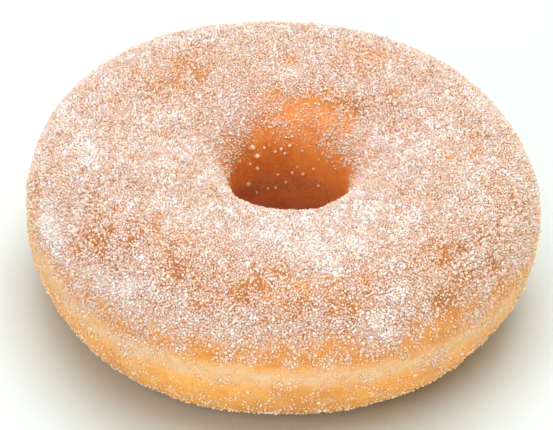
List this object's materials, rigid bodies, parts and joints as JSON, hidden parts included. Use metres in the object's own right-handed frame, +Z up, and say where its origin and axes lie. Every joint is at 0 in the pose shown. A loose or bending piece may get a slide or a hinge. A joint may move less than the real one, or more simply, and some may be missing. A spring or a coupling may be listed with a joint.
{
  "type": "sugar doughnut",
  "caption": "Round ring of raised, fried dough with a hole through its middle, a shallow pale waist and a small flat ring underneath to rest on.",
  "frame": {"origin": "on the surface that the ring rests on, under the middle of its box", "axes": "+Z up through the hole, -Y towards the front that the picture shows, +X to its right"},
  "size_m": [0.09, 0.0882, 0.0332],
  "materials": {
    "crust": "matte",
    "sugar": "matte"
  },
  "bodies": {
    "root": {"doughnut": "crust"}
  },
  "joints": []
}
